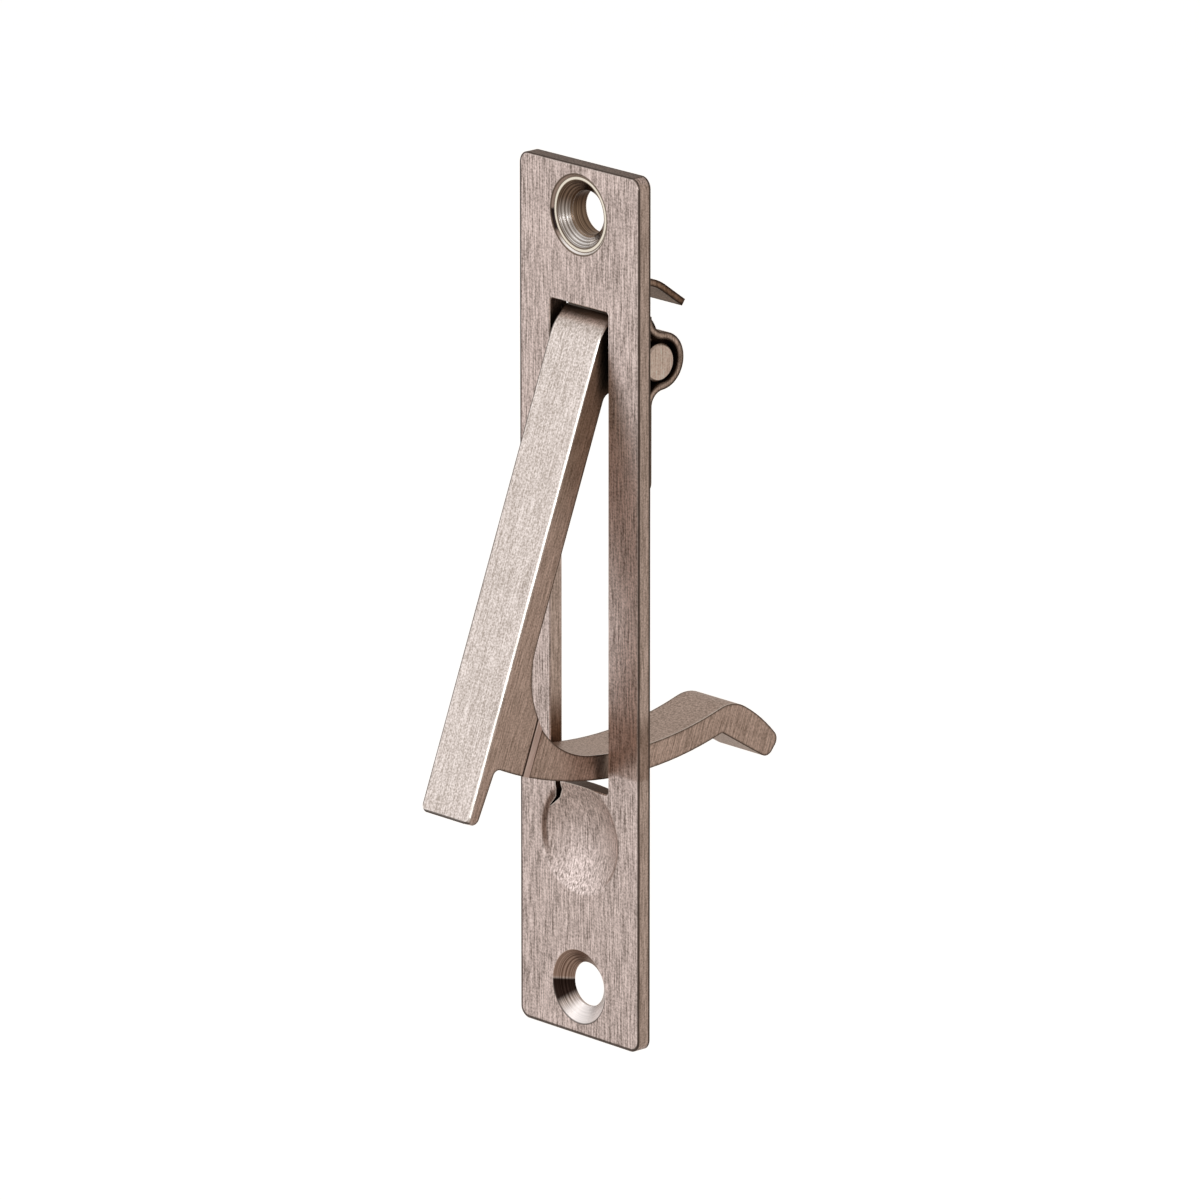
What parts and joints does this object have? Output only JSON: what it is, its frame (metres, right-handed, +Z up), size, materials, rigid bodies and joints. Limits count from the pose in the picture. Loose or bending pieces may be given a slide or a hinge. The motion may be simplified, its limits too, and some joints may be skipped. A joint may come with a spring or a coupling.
{
  "type": "pocket door edge pull",
  "caption": "Slim rectangular face plate for a pocket door's edge, with a slot, a pressed thumb dish and a hooked lever that swings out on a cross pin.",
  "frame": {"origin": "middle of the plate's back face, halfway between the two screw holes", "axes": "+X across the plate to the right as seen from the front, -Y out of the door's edge towards the user, +Z up along the plate"},
  "size_m": [0.019, 0.0464, 0.0984],
  "materials": {
    "plate_nickel": "satin, brushed lengthwise",
    "strap_nickel": "satin",
    "eyelet_nickel": "turned, half bright",
    "pin_steel": "satin",
    "lever_nickel": "satin, brushed lengthwise"
  },
  "bodies": {
    "plate": {"face_plate": "plate_nickel", "pivot_strap": "strap_nickel", "strap_eyelet": "eyelet_nickel"},
    "pull": {"pull_lever": "lever_nickel", "pivot_pin": "pin_steel"}
  },
  "joints": [
    {"name": "lever_swing", "type": "hinge", "parent": "plate", "child": "pull", "pos_m": [0, 0.0022, 0.02814], "axis": [-1, 0, 0], "range_deg": [-19.9, 20.3]}
  ]
}
